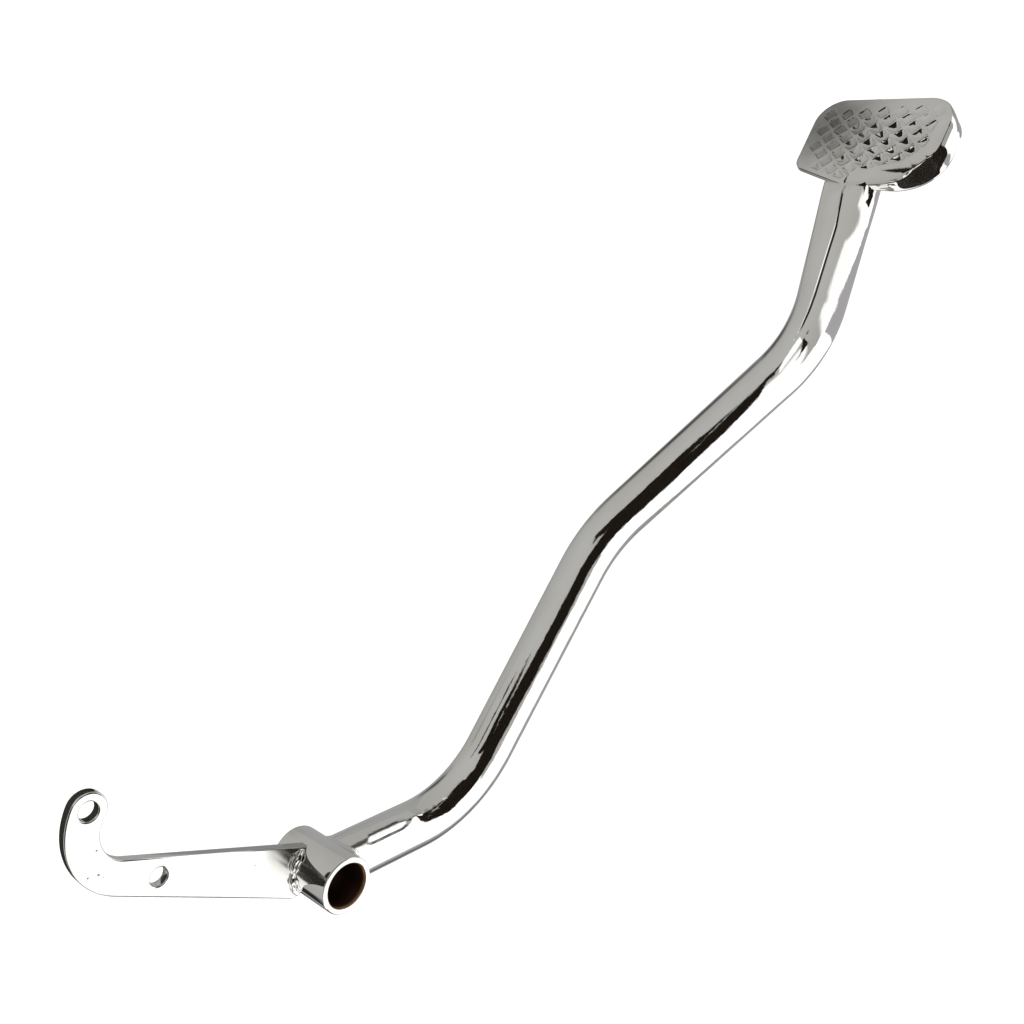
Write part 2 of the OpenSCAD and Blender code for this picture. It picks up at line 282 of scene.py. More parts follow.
def chrome(name, level=0.82, rough=0.045, smear=0.03, ripple=0.02, marks=(), extra=None):
    """Bright plate: faint cloudy haze, fine polishing ripple, and small dark pits at the marks. extra
    takes the graph and the place, and gives a shade's amount, its colour and one more height."""
    material, g, shader, where = new_material(name)
    cloud = g.noise(where, 60.0, 3.0)
    fine = g.noise(where, 900.0, 2.0)
    tone = g.mix(g.step(0.35, 0.7, cloud), grey(level, 0.4), grey(level * 0.96, 1.2))
    haze = rough + g.step(0.5, 0.8, cloud) * smear
    waves = g.noise(where, 140.0, 1.0) * 0.7 + fine * 0.1
    for at, radius in marks:
        blot = g.distance(where, tuple(a * MM for a in at)) + (fine - 0.5) * 0.0006
        spot = 1 - g.step(radius * MM * 0.4, radius * MM, blot)
        tone = g.mix(spot * 0.75, tone, grey(0.12, 1.0))
        haze = haze + spot * 0.4
    if extra:
        amount, colour, height = extra(g, where)
        tone = g.mix(amount, tone, colour)
        haze = haze + amount * 0.25
        waves = waves + height
    g.link(shader.inputs["Base Color"], tone)
    shader.inputs["Metallic"].default_value = 1.0
    g.link(shader.inputs["Roughness"], haze)
    bump = g.add("ShaderNodeBump", None, Height=waves)
    bump.inputs["Strength"].default_value = ripple
    bump.inputs["Distance"].default_value = 0.001
    g.link(shader.inputs["Normal"], bump.outputs[0])
    return material


def arm_extra(g, where):
    """The slit's dark inside, and fine streaks drawn along the tube."""
    gap = Value(g, g.add("ShaderNodeAttribute", {"attribute_name": "gap"}).outputs["Fac"])
    tube = g.add("ShaderNodeAttribute", {"attribute_name": "tube"}).outputs["Vector"]
    drawn = g.noise(tube, 1.1, 3.0, 0.6)
    swell = g.noise(tube, 0.35, 2.0)
    return g.step(0.35, 0.9, gap), grey(0.02, 1.0), drawn * 3.5 + swell * 4.0


WORN_AT = (284, -54, TREAD_Z)
WORN_FROM, WORN_TO = 4.0, 30.0
# Pit depths in mm over which the painted shade in the pits comes in
PIT_SHADE_FROM, PIT_SHADE_TO = 0.2, 1.1


def tread_extra(g, where):
    """The grimy, worn corner of the tread, fading with the distance from its middle, and a little painted
    shade in the pits, darker with their depth."""
    near = g.distance(where, tuple(a * MM for a in WORN_AT))
    cloud = g.noise(where, 260.0, 4.0, 0.6)
    worn = 1 - g.step(WORN_FROM * MM, WORN_TO * MM, near)
    # Painted shade: the pits turn darker with their depth
    down = g.step(PIT_SHADE_FROM * MM, PIT_SHADE_TO * MM, TREAD_Z * MM - g.split(where)[2])
    amount = worn * (0.5 + cloud * 0.4) + down * (0.10 + worn * 0.2)
    return g.math("MINIMUM", amount, 0.9), grey(0.10, 1.5), cloud * 0.6


# The plate's small pits in the plating: where they are, and their radii
PLATE_MARKS = (
    ((-14.0, PLATE_Y, 76.4), 0.40),
    ((-21.2, PLATE_Y, 74.6), 0.34),
    ((-19.7, PLATE_Y, 72.1), 0.46),
    ((-19.9, PLATE_Y, 70.3), 0.36),
    ((-5.5, PLATE_Y, 23.6), 0.28),
    ((-6.4, PLATE_Y, 22.9), 0.22),
)
CHROME = chrome("chrome plate")
CHROME_WELD = chrome("plated weld", 0.80, 0.05, 0.03, 0.02)
CHROME_PLATE = chrome("chrome plate with pits", rough=0.17, marks=PLATE_MARKS)
CHROME_ARM = chrome("chrome arm", extra=arm_extra)
CHROME_PAD = chrome("chrome tread", 0.82, 0.06, extra=tread_extra)


MOUTH_TINT = 1.6


def bare_bore():
    """The bore's unplated steel: dark brown, with a copper tint in the last stretch before each mouth, and
    turning rings."""
    material, g, shader, where = new_material("bare bore steel")
    x, y, z = g.split(where)
    mouth = g.step((PIVOT_LEN / 2 - MOUTH_TINT) * MM, PIVOT_LEN / 2 * MM, g.math("ABSOLUTE", y))
    stain = g.noise(where, 500.0, 4.0, 0.6)
    tone = g.mix(mouth * (0.5 + stain * 0.7), (0.035, 0.015, 0.010, 1), (0.42, 0.22, 0.11, 1))
    g.link(shader.inputs["Base Color"], tone)
    shader.inputs["Metallic"].default_value = 0.9
    g.link(shader.inputs["Roughness"], 0.32 + stain * 0.2)
    rings = g.add("ShaderNodeTexWave", {"bands_direction": "Y"}, Vector=where, Scale=600.0, Distortion=1.5)
    bump = g.add("ShaderNodeBump", None, Height=rings.outputs[1])
    bump.inputs["Strength"].default_value = 0.15
    bump.inputs["Distance"].default_value = 0.0003
    g.link(shader.inputs["Normal"], bump.outputs[0])
    return material


BORE = bare_bore()


# Pivot tube

def round_profile(corners, radii, n=6):
    """A closed outline of straight sides whose corners are arcs of the given radii, as points."""
    corners = np.array(corners, float)
    out = []
    for k, r in enumerate(radii):
        a, b, c = corners[k - 1], corners[k], corners[(k + 1) % len(corners)]
        into, away = unit(b - a), unit(c - b)
        turn = math.atan2(into[0] * away[1] - into[1] * away[0], float(into @ away))
        if r <= 0 or abs(turn) < 1e-6:
            out.append(b[None])
            continue
        start = b - into * r * math.tan(abs(turn) / 2)
        side = np.array([-into[1], into[0]]) * math.copysign(1, turn)
        t = np.linspace(0, abs(turn), n)[:, None]
        out.append(start + side * r * (1 - np.cos(t)) + into * r * np.sin(t))
    return np.vstack(out)


def make_pivot_tube():
    """The wall's outline, carried round the Y axis: radius times (cos, sin) in X and Z."""
    half = PIVOT_LEN / 2
    edge, bevel = 0.45, 0.3
    mouth, lip = BORE_R + bevel, 0.15
    outer = round_profile([(mouth, -half), (PIVOT_R, -half), (PIVOT_R, half), (mouth, half)],
                          [lip, edge, edge, lip])
    inner = np.array([(mouth, half), (BORE_R, half - bevel), (BORE_R, 0), (BORE_R, bevel - half),
                      (mouth, -half)])
    inner[0], inner[-1] = outer[-1], outer[0]
    t = np.linspace(0, TAU, 160, endpoint=False)[None, :]

    def spin(profile):
        r, y = profile[:, 0:1], profile[:, 1:2]
        return np.stack([r * np.cos(t), y + 0 * t, r * np.sin(t)], -1)

    piece = make_piece("pivot_tube_plated", [(spin(outer), False, True, 0), (spin(inner), False, True, 1)],
                       [CHROME, BORE])
    seat(piece, "pivot_tube")


make_pivot_tube()

# Lever plate

def lever_outline():
    """The plate's outline in its own plane, X forward and Y up, as points: the bar's two leaning edges,
    the hook's outer and inner bends with the round tip that touches both, and the corner at the foot.
    It ends inside the pivot tube's wall."""
    rod, wall = ROD_HOLE, PLATE_SEAT_R
    tip_r, outer_r, inner_r, foot_r = 5.3, 21.7, 9.5, 4.0
    rear, front = math.radians(11.7), math.radians(17.8)
    # How far forward of the rod hole the middles of the two bends lie
    outer_on, inner_on = 2.7, 0.3
    outer = rod + np.array([outer_on, -math.sqrt((outer_r - tip_r) ** 2 - outer_on ** 2)])
    inner = rod + np.array([inner_on, -math.sqrt((inner_r + tip_r) ** 2 - inner_on ** 2)])

    def arc(centre, r, a, b, n):
        t = np.linspace(a, b, n)
        return centre + r * np.stack([np.cos(t), np.sin(t)], -1)

    rear_touch = outer - outer_r * np.array([math.cos(rear), math.sin(rear)])
    front_touch = inner - inner_r * np.array([math.cos(front), math.sin(front)])
    along = np.array([math.sin(front), -math.cos(front)])
    b = float(front_touch @ along)
    run = -b - math.sqrt(b * b - float(front_touch @ front_touch) + wall * wall)
    front_foot = front_touch + along * run
    rear_foot = rear_touch + np.array([math.tan(rear), -1]) * (rear_touch[1] - foot_r)
    corner = rear_foot + foot_r * np.array([math.cos(rear), math.sin(rear)])
    to_tip = math.atan2(*(rod - inner)[::-1])
    to_outer = math.atan2(*(rod - outer)[::-1])
    foot = arc(corner, foot_r, math.pi + rear, 1.5 * math.pi, 24)
    foot = foot[np.linalg.norm(foot, axis=1) > wall]
    start = math.atan2(foot[-1][1], foot[-1][0])
    end = math.atan2(front_foot[1], front_foot[0])
    return np.vstack([
        rear_touch[None],
        foot,
        arc(np.zeros(2), wall, start, end, 12),
        front_foot[None],
        arc(inner, inner_r, math.pi + front, to_tip, 48),
        arc(rod, tip_r, to_tip - math.pi, to_outer, 48)[1:],
        arc(outer, outer_r, to_outer, math.pi + rear, 96)[1:-1],
    ])


def make_lever_plate():
    """The outline with its two holes, given the plate's thickness and a small rounding at its edges."""
    bevel = 0.5
    shape = bpy.data.curves.new("lever_plate_shape", "CURVE")
    shape.dimensions = "2D"
    shape.fill_mode = "BOTH"
    t = np.linspace(0, TAU, 64, endpoint=False)
    ring = HOLE_R * np.stack([np.cos(t), np.sin(t)], -1)
    for points in (lever_outline(), ring + ROD_HOLE, ring + SPRING_HOLE):
        spline = shape.splines.new("POLY")
        spline.points.add(len(points) - 1)
        flat = np.zeros((len(points), 4))
        flat[:, :2] = points * MM
        spline.points.foreach_set("co", flat.ravel())
        spline.use_cyclic_u = True
    shape.extrude = (PLATE_T / 2 - bevel) * MM
    shape.bevel_depth = bevel * MM
    shape.bevel_resolution = 3
    shape.offset = -bevel * MM
    drawn = bpy.data.objects.new("lever_plate_drawn", shape)
    bpy.context.scene.collection.objects.link(drawn)
    bpy.context.view_layer.update()
    mesh = bpy.data.meshes.new_from_object(drawn.evaluated_get(bpy.context.evaluated_depsgraph_get()))
    bpy.data.objects.remove(drawn)
    co = np.zeros(len(mesh.vertices) * 3)
    mesh.vertices.foreach_get("co", co)
    co = co.reshape(-1, 3)
    turned = np.stack([co[:, 0], (PLATE_Y + PLATE_T / 2) * MM - co[:, 2], co[:, 1]], -1)
    mesh.vertices.foreach_set("co", turned.ravel())
    bm = bmesh.new()
    bm.from_mesh(mesh)
    bmesh.ops.remove_doubles(bm, verts=bm.verts, dist=1e-7)
    bmesh.ops.recalc_face_normals(bm, faces=bm.faces)
    for face in bm.faces:
        face.smooth = abs(face.normal.y) < 0.999
    bm.to_mesh(mesh)
    bm.free()
    mesh.materials.clear()
    mesh.materials.append(CHROME_PLATE)
    piece = bpy.data.objects.new("lever_plate_plated", mesh)
    bpy.context.scene.collection.objects.link(piece)
    seat(piece, "lever_plate")


make_lever_plate()


# Arm

def root_section(n=2400):
    """Outline of the neck at the pad's root, as points over n even angles of its normal: an oval as wide
    and high as the neck, whose top inner quarter is pressed out to a round corner. Where the corner's
    circle reaches further along the normal than the oval does, the outline follows the circle."""
    corner_in, corner_r = 3.5, 1.2
    normal = np.linspace(-math.pi, math.pi, n)
    c, s = np.cos(normal), np.sin(normal)
    w, h = NECK_W / 2, NECK_H / 2
    oval = np.hypot(w * c, h * s)
    corner = (w - corner_in) * c + (h - corner_r) * s + corner_r
    px = np.where(oval > corner, w * w * c / oval, w - corner_in + corner_r * c)
    py = np.where(oval > corner, h * h * s / oval, h - corner_r + corner_r * s)
    return px, py, c, s


# Dents in the arm, and lumps where the depth is below 0: how far along it, at which angle round it in
# degrees, their length and width, and their depth
DENTS = (
    (246.0, 135, 2.2, 1.2, 0.05),
    (241.0, 150, 3.0, 1.0, -0.05),
    (238.0, 128, 2.6, 1.0, 0.05),
    (172.6, 135, 0.8, 6.0, 0.03),
    (176.0, 140, 0.7, 5.0, 0.02),
    (104.5, 172, 3.5, 1.0, 0.05),
    (60.0, 132, 2.5, 1.2, 0.05),
    (37.0, 140, 3.0, 2.0, 0.08),
    (35.2, 129, 1.3, 1.2, -0.36),
    (33.0, 125, 1.5, 1.3, -0.42),
    (34.6, 119, 1.0, 1.0, -0.28),
)


# The slit's line: how far along the arm, and the angle round it in degrees
SLIT = ((248, 111), (253.6, 105.5), (258, 102.5), (264.5, 99.5), (272.5, 101), (280.7, 102.5), (288.4, 105),
        (295, 100.5), (299, 97))
SLIT_HALF, SLIT_DEPTH = 0.25, 0.8
# About where the middles of the bends lie, by length along the arm
BENDS = (58, 165, 243)


def make_arm():
    """Rings across the centreline, each a radius over the angle. A ring is round up to the end of the last
    bend. From there to the root it blends from the circle to the root's section, points of equal normal
    together. The slit at distance d from its line is a groove exp(-(d / half)^4) times its depth. Past the
    root the tube closes to a flat tongue under the sheet."""
    line, along, length = centreline()
    side = unit(np.cross([0, 0, 1], along))
    up = np.cross(along, side)
    neck_start = NECK + unit(ROOT - NECK) * NECK_R * math.tan(
        math.acos(float(unit(NECK - ELBOW) @ unit(ROOT - NECK))) / 2)
    neck_len = np.linalg.norm(ROOT - neck_start)
    keep = length > 14
    centre, along, side, up, length = line[keep], along[keep], side[keep], up[keep], length[keep]
    blend = np.clip((length - (length[-1] - neck_len)) / neck_len, 0, 1)

    # The slit runs along the neck's top, a little uneven, from the crease where the forming starts
    at, turn = np.array(SLIT).T
    angle = np.radians(np.interp(length, at, turn))
    open_by = smoothstep(250, 258, length)

    # Angles round the ring: fine beside the slit, coarser away from it
    fine = np.arange(-14, 15) * 0.011
    rest = np.linspace(fine[-1], TAU + fine[0], 110)[1:-1]
    offs = np.concatenate([fine, rest])
    theta = angle[:, None] + offs[None, :]
    px, py, c, s = root_section()
    rows = []
    for t, th in zip(blend, theta):
        x, y = (1 - t) * ARM_R * c + t * px, (1 - t) * ARM_R * s + t * py
        a = np.unwrap(np.arctan2(y, x))
        rows.append(np.interp((th + math.pi) % TAU - math.pi, a, np.hypot(x, y), period=TAU))
    radius = np.array(rows)
    offs = np.where(offs > math.pi, offs - TAU, offs)[None, :]
    d = offs * radius
    s = length[:, None]
    groove = np.exp(-((d - 0.05) / SLIT_HALF) ** 4)
    # Outward of the slit the wall is pressed in behind a sharp crease, and comes out again at the root
    sunk = 0.85 * smoothstep(252.6, 266, s) * (1 - smoothstep(284, 297, s))
    crease = 0.15 * smoothstep(252.3, 254.1, s) * (1 - smoothstep(253.6, 270, s))
    across = smoothstep(0.0, 0.05, offs) * (1 - smoothstep(1.0, 1.9, offs))
    radius = radius - open_by[:, None] * SLIT_DEPTH * groove - (sunk + crease) * across

    # Slight unevenness from the bending, the dents, and one long facet beside the weld, which tilts the
    # surface inside an uneven lens
    ripple = 0.02 * np.sin(length * 0.9 + 1.3 * np.sin(length * 0.31))
    near = sum(np.exp(-((length - at) / 16) ** 2) for at in BENDS)
    radius = radius + (ripple * near)[:, None] * np.cos(theta * 2 + 0.6)
    for at, deg, long, wide, deep in DENTS:
        gap = (theta - math.radians(deg) + math.pi) % TAU - math.pi
        radius = radius - deep * np.exp(-((s - at) / long) ** 2 - (gap * ARM_R / wide) ** 2)
    gap = (theta - math.radians(128) + math.pi) % TAU - math.pi
    lens = np.hypot((s - 21.5) / 10.5, gap * ARM_R / (1.9 + 0.3 * np.sin(s * 0.5)))
    radius = radius - 0.18 * ARM_R * gap * (1 - smoothstep(0.9, 1.0, lens))
    ring = centre[:, None] + radius[..., None] * (
        np.cos(theta)[..., None] * side[:, None] + np.sin(theta)[..., None] * up[:, None])

    # The start: a cap that follows the wall of the pivot tube inside it, then rings out to the first
    phi = theta[0]
    a, b = ARM_R * np.cos(phi), ARM_R * np.sin(phi)
    start = []
    for rho in np.linspace(0, 1, 9):
        s0 = np.sqrt(ARM_SEAT_R ** 2 - (rho * b) ** 2)
        start.append(np.stack([rho * a, rho * b, s0], -1))
    s0 = start[-1][:, 2]
    for f in np.linspace(0, 1, 12)[1:-1]:
        start.append(np.stack([a, b, s0 + (length[0] - s0) * f], -1))
    start = np.array(start)
    lead = start[..., 0:1] * side[0] + start[..., 1:2] * up[0] + start[..., 2:3] * along[0]

    # The end: the root's ring goes on under the sheet, then narrows to the tongue's end, then to a point
    th = theta[-1]
    shoulder = []
    for run in (1.0, 2.0, 3.0, 4.0, 5.0):
        more = ring[-1] + along[-1] * run
        roof = TREAD_Z - 0.12 - 0.42 * np.maximum(more[:, 0] - ROOT[0] - 1.2, 0)
        more[:, 2] = np.minimum(more[:, 2], roof)
        shoulder.append(more)
    ring = np.concatenate([ring, np.array(shoulder)])
    tongue_run, tongue_w, tongue_t = 18.0, 6, 0.75
    m = np.maximum(np.abs(np.cos(th)) / tongue_w, np.abs(np.sin(th)) / tongue_t)
    tongue = ROOT + np.stack([np.full_like(th, tongue_run), np.cos(th) / m,
                              NECK_H / 2 - SHEET - tongue_t + np.sin(th) / m], -1)
    last = ring[-1]
    tail = [last + (tongue - last) * f for f in np.linspace(0, 1, 14)[1:]]
    tail += [tongue.mean(0) + (tongue - tongue.mean(0)) * f for f in (0.5, 0.0)]
    grid = np.concatenate([lead, ring, np.array(tail)])

    # For the material: the place along and round the tube, shrunk along it, and the slit's gap
    before, after = len(lead), len(grid) - len(lead) - len(length)
    run = np.concatenate([np.linspace(0, length[0], before, endpoint=False), length,
                          length[-1] + 1.0 + np.arange(after)])[:, None]
    turn = np.concatenate([np.repeat(theta[:1], before, 0), theta, np.repeat(theta[-1:], after, 0)])
    tube = np.stack([run * 0.12 + 0 * turn, ARM_R * np.cos(turn), ARM_R * np.sin(turn)], -1)
    gap = np.zeros(turn.shape + (1,))
    gap[before:before + len(length), :, 0] = open_by[:, None] * groove
    return make_piece("pedal_arm_plated", [(grid, False, True, 0)], [CHROME_ARM], {"tube": tube, "gap": gap})


# Foot pad

# Samples of the pad's outline on each corner's arc and on each side between two arcs
ARC_N, SIDE_N = 160, 78


def pad_outline():
    """The pad's plan: the hull of five circles, walked round. Each sample has its point, its outward
    normal, and the numbers of the edge's profile there, which change evenly from place to place."""
    front_x, inner_y, outer_y = ROOT[0] + PAD_LEN, ROOT[1] + PAD_IN, ROOT[1] - PAD_OUT
    rear_x = ROOT[0] + 1
    corners = [
        ((front_x - 12, outer_y + 11), 11),
        ((front_x - 9.1, inner_y - 8.8), 8.8),
        ((rear_x + 10.2, inner_y - 4), 4),
        ((rear_x + 3, ROOT[1]), 3),
        ((rear_x + 16.3, outer_y + 15), 15),
    ]
    n = len(corners)
    normal = []
    for i in range(n):
        (ci, ri), (cj, rj) = corners[i], corners[(i + 1) % n]
        d = np.subtract(cj, ci)
        normal.append(math.atan2(d[1], d[0]) - math.acos((ri - rj) / np.linalg.norm(d)))
    # The edge's profile at places along each corner's arc: inset of the flat tread, inset and drop of the
    # ridge, its rounding, inset and drop of the knuckle below it, and that one's rounding
    plain = (1.2, 0.0, 0.0, 1.2, 0.0, 1.1, 0.2)
    side = (5.0, 1.5, 0.75, 0.25, 0.0, 3.0, 1.8)
    shape = {
        0: [(0, side), (0.3, (2.4, 0.9, 0.3, 0.3, 0.0, 2.4, 1.5)), (0.55, plain), (1, plain)],
        1: [(0, plain), (1, plain)],
        2: [(0, plain), (1, plain)],
        3: [(0, plain), (0.6, (3.0, 0.3, 0.3, 2.5, 0.0, 1.2, 0.3)), (1, (4.5, 0.4, 0.5, 3.5, 0.0, 1.6, 0.4))],
        4: [(0, (6.5, 0.6, 0.7, 4.0, 0.0, 3.0, 0.8)), (0.22, (6.5, 1.2, 0.8, 1.8, 0.2, 4.6, 0.4)),
            (0.40, (6.8, 2.4, 0.8, 0.4, 0.3, 5.6, 0.3)), (0.67, (6.3, 2.4, 0.8, 0.25, 0.3, 6.2, 0.3)),
            (0.72, (6.2, 2.0, 0.75, 0.25, 0.1, 4.0, 1.0)), (0.82, (5.5, 1.6, 0.7, 0.25, 0.0, 3.0, 1.8)),
            (1, side)],
    }
    points, angles, profile = [], [], []
    for j in range(n):
        a, b = normal[j - 1], normal[j]
        b = a + (b - a) % TAU
        t = np.linspace(a, b, ARC_N)
        c, r = corners[j]
        points.append(np.array(c) + r * np.stack([np.cos(t), np.sin(t)], -1))
        angles.append(t)
        at = np.array([f for f, _ in shape[j]])
        values = np.array([v for _, v in shape[j]])
        profile.append(np.stack([np.interp(np.linspace(0, 1, ARC_N), at, v) for v in values.T], -1))
    for j in range(n):
        k = (j + 1) % n
        f = np.linspace(0, 1, SIDE_N + 2)[1:-1, None]
        points[j] = np.vstack([points[j], points[j][-1] + (points[k][0] - points[j][-1]) * f])
        angles[j] = np.concatenate([angles[j], np.full(SIDE_N, angles[j][-1])])
        profile[j] = np.vstack([profile[j], profile[j][-1] + (profile[k][0] - profile[j][-1]) * f])
    points = np.vstack(points)
    angles = np.concatenate(angles)[:, None]
    return np.hstack([points, np.cos(angles), np.sin(angles), np.vstack(profile)])


def pad_rim(nx, ny):
    """The outline sampled for a grid of nx by ny cells: its four sides in turn, parted at the corners'
    45 degree points, each evenly along X or Y."""
    data = pad_outline()
    turn = np.arctan2(data[:, 3], data[:, 2])

    def split(angle):
        """The sample whose normal points along the angle."""
        return int(np.argmin(np.abs((turn - angle + math.pi) % TAU - math.pi)))

    cuts = [split(math.radians(a)) for a in (-45, 45, 135, -135)]
    sides = []
    for (a, b), axis, n in zip(zip(cuts, cuts[1:] + cuts[:1]), (1, 0, 1, 0), (ny, nx, ny, nx)):
        part = data[a:b + 1] if b > a else np.vstack([data[a:], data[:b + 1]])
        order = np.argsort(part[:, axis])
        part = part[order]
        at = np.linspace(part[0, axis], part[-1, axis], n + 1)
        sides.append(np.stack([np.interp(at, part[:, axis], part[:, k]) for k in range(data.shape[1])], -1))
    return sides


# Half the spacing of the pits in a row, and how far their rows wander
PIT_HALF = 3.1
PIT_WANDER = 0.14
# Depth of a bowl in the middle of the tread
BOWL_DEPTH = 1.15


def tread_height(x, y):
    """Height of the tread's surface over its plane: pits in a lattice of diamonds along the pad's axes,
    each with a raised rim. A pit is a bowl in the middle of the tread and turns flat and shallow towards
    its edges."""
    half, wob = PIT_HALF, PIT_WANDER
    x0, y0 = ROOT[0] + 7.2, ROOT[1] + 19.2
    xs = x + wob * np.sin(y * 1.1 + 0.7 * np.sin(x * 0.9))
    ys = y + wob * np.sin(x * 1.3 + 1.9 * np.sin(y * 0.6))
    u, v = (xs - x0) / half, (ys - y0) / half
    a, b = (u + v) / 2, (u - v) / 2
    ia, ib = np.round(a), np.round(b)
    cx, cy = x0 + (ia + ib) * half, y0 + (ia - ib) * half
    da, db = np.abs(a - ia), np.abs(b - ib)
    square, rho = np.maximum(da, db), (da ** 3.4 + db ** 3.4) ** (1 / 3.4)
    # The pits stay within the plain margin, which rounds the two outer corners
    rear = np.array([ROOT[0] + 17.3, ROOT[1] - 12.0])
    front = np.array([ROOT[0] + 23.3, ROOT[1] - 16.0])
    on = (cy > ROOT[1] - 22) & (cy < ROOT[1] + 16.8) & (cx < ROOT[0] + 31.3) & (cx > ROOT[0] + 4)
    on &= (cy < ROOT[1] + 14.7) | (cx > x0 + half * 1.5)
    on &= (cx > rear[0]) | (cy > rear[1]) | (np.hypot(cx - rear[0], cy - rear[1]) < 11)
    on &= (cx < front[0]) | (cy > front[1]) | (np.hypot(cx - front[0], cy - front[1]) < 8)
    middle = np.exp(-(((cx - ROOT[0] - 16) / 16) ** 2 + ((cy - ROOT[1] + 7) / 17) ** 2) ** 2)
    each = 0.5 + 0.5 * np.sin(cx * 12.9 + cy * 78.2)
    # A bowl is steep at the rim and eases to a small floor. A shallow pit is flat, and deeper with a
    # gentler edge towards the pad's inner side.
    bowl = np.clip((0.47 - rho) / 0.36, 0, 1)
    bowl = 1.3 * bowl - 0.3 * bowl * bowl
    inner = smoothstep(ROOT[1] - 8, ROOT[1] + 8, cy)
    flat = smoothstep(0.0, 1.0, (0.46 - square) / (0.10 + 0.12 * inner))
    deep = middle * (0.85 + 0.15 * each)
    rim = np.exp(-((square - 0.49) / 0.028) ** 2)
    shallow = (0.32 + 0.34 * inner) * (1 - deep) * flat
    return on * (-BOWL_DEPTH * deep * bowl - shallow + (0.05 + 0.08 * deep) * rim)


def make_pad():
    """The pressed sheet. The tread is a grid stretched to the rim; round it run loops down the rolled or
    creased edge, the skirt, its lip and the inside, and the underside closes it."""
    nx, ny = 176, 240
    sides = pad_rim(nx, ny)
    front, inner, rear, outer = sides
    rim = np.vstack([front[:-1], inner[::-1][:-1], rear[::-1][:-1], outer[:-1]])
    x, y, nxv, nyv, inset, ridge_in, ridge_down, ridge_soft, low_in, low_down, low_soft = rim.T
    drop = SHEET + (SKIRT - SHEET) * np.clip((ROOT[1] + 2 - y) / (PAD_OUT + 2), 0, 1)
    lip = np.where(y < ROOT[1] + 2, 1.1, 0.5)
    fall = np.maximum(drop - lip, 0.9)

    def loop(w, h):
        """The rim moved inward by w and down by h."""
        return np.stack([x - nxv * w, y - nyv * w, TREAD_Z - h], -1)

    top = loop(inset, 0 * inset)
    # The tread's grid: the rim's points as its border, and every inner point on the line to the middle
    p = np.linspace(-1, 1, nx + 1)[:, None] * np.ones((1, ny + 1))
    q = np.ones((nx + 1, 1)) * np.linspace(-1, 1, ny + 1)[None, :]
    m = np.maximum(np.abs(p), np.abs(q))
    safe = np.where(m == 0, 1, m)
    pp, qq = p / safe, q / safe
    mid = np.array([ROOT[0] + 18.5, ROOT[1] - 3.0])
    corners = np.cumsum([0, ny, nx, ny])
    on_front = qq * ny / 2 + ny / 2
    on_inner = corners[1] + (1 - pp) * nx / 2
    on_rear = corners[2] + (1 - qq) * ny / 2
    on_outer = corners[3] + (pp + 1) * nx / 2
    where = np.where((np.abs(pp) >= np.abs(qq)) & (pp > 0), on_front,
                     np.where((np.abs(pp) >= np.abs(qq)), on_rear,
                              np.where(qq > 0, on_inner, on_outer)))
    total = len(rim)
    index = np.arange(total + 1)
    edge = np.stack([np.interp(where, index, np.append(top[:, k], top[0, k])) for k in (0, 1)], -1)
    flat = mid + m[..., None] * (edge - mid)
    fade = 1 - smoothstep(0.93, 1.0, m)
    height = tread_height(flat[..., 0], flat[..., 1]) * np.where(m < 1, fade, 0)
    tread = np.dstack([flat, TREAD_Z + height])

    # Down the edge: straight to the ridge, over it on a quadratic curve, and the same over the knuckle
    zero = 0 * x
    low_down = np.minimum(low_down, fall * 0.85)
    stops = [np.stack(p) for p in ((inset, zero), (ridge_in, ridge_down), (low_in, low_down), (zero, fall))]
    line_points = [stops[0]]
    for k, soft in ((1, ridge_soft), (2, low_soft)):
        before, here, after = stops[k - 1], stops[k], stops[k + 1]
        back, on = np.hypot(*(before - here)), np.hypot(*(after - here))
        reach_back = np.minimum(soft, back * (0.98 if k == 1 else 0.49)) / back
        reach_on = np.minimum(soft, on * (0.98 if k == 2 else 0.49)) / on
        a, b = here + (before - here) * reach_back, here + (after - here) * reach_on
        start = line_points[-1]
        line_points += [start + (a - start) * f for f in (0.33, 0.66)]
        line_points += [(1 - f) ** 2 * a + 2 * f * (1 - f) * here + f * f * b for f in np.linspace(0, 1, 8)]
    line_points += [line_points[-1] + (stops[3] - line_points[-1]) * f for f in (0.5, 1.0)]
    loops = [loop(w, h) for w, h in line_points]
    for w, part in ((-0.05, 0.25), (-0.08, 0.5), (-0.05, 0.75)):
        loops.append(loop(w, fall + (drop - fall) * part))
    loops += [loop(0.1, drop - 0.05), loop(0.35, drop), loop(1.1, drop)]
    for w, f in ((1.4, 0.97), (1.6, 0.8), (1.75, 0.4), (2.1, 0.08), (2.6, 0.0)):
        loops.append(loop(w, SHEET + (drop - SHEET) * f))
    below = loops[-1]
    centre = np.array([mid[0], mid[1], TREAD_Z - SHEET])
    for f in np.linspace(1, 0, 10)[1:]:
        loops.append(centre + (below - centre) * f)
    grids = [(tread, False, False, 0), (np.array(loops), False, True, 0)]
    return make_piece("foot_pad_plated", grids, [CHROME_PAD])


for piece in (make_arm(), make_pad()):
    seat(piece, "pedal_arm")


# Welds

def bead_noise(*phases):
    """A sum of sines at unrelated rates, about -1 to 1."""
    return sum(np.sin(p) for p in phases) / len(phases)


